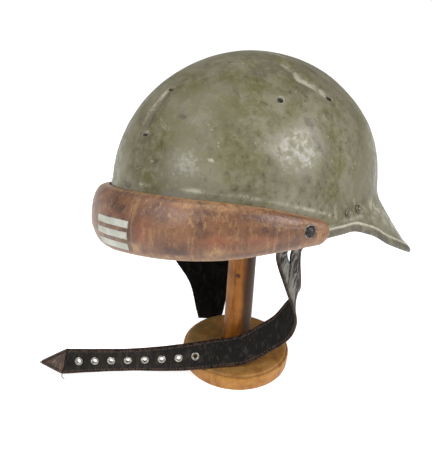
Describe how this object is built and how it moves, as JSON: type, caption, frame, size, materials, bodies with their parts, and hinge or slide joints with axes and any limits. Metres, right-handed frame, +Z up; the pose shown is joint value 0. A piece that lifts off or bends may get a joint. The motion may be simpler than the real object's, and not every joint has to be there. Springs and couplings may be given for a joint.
{
  "type": "steel helmet with a leather brow pad, on a plain turned wooden stand",
  "caption": "Pressed steel helmet with flared neck guard, stuffed leather brow pad with pale bars, chin strap and ear flap, on a turned wooden stand.",
  "frame": {"origin": "middle of the stand base's underside", "axes": "+Z up; the helmet faces -Y, its own left side is at +X; it leans back and to its right on the stand as in the picture"},
  "size_m": [0.249, 0.3557, 0.3438],
  "materials": {
    "painted_steel": "worn satin olive-drab paint with scuffs and dark stains",
    "brown_leather": "worn brown leather with dark patches and scuffed tan edges",
    "black_leather": "black creased leather, weathered grey on its outer face",
    "stripe_paint": "pale grey-green paint on the pad's leather",
    "dark_steel": "dark worn steel",
    "nickel": "pale dulled nickel",
    "honey_wood": "satin honey-brown wood",
    "base_wood": "satin turned wood, dirty olive-brown on its top"
  },
  "bodies": {
    "root": {"shell": "painted_steel", "brow_pad": "brown_leather", "stripe_upper": "stripe_paint", "stripe_middle": "stripe_paint", "stripe_lower": "stripe_paint", "pad_rivet_left": "dark_steel", "pad_rivet_right": "dark_steel", "shell_rivet_front_left": "painted_steel", "shell_rivet_rear_left": "painted_steel", "shell_rivet_front_right": "painted_steel", "shell_rivet_rear_right": "painted_steel", "chin_strap": "black_leather", "strap_tip": "brown_leather", "eyelet_1": "nickel", "eyelet_2": "nickel", "eyelet_3": "nickel", "eyelet_4": "nickel", "eyelet_5": "nickel", "eyelet_6": "nickel", "eyelet_7": "nickel", "eyelet_8": "nickel", "ear_flap": "black_leather", "stand_base": "base_wood", "stand_ring": "base_wood", "stand_post": "honey_wood", "stand_head": "honey_wood"}
  },
  "joints": []
}
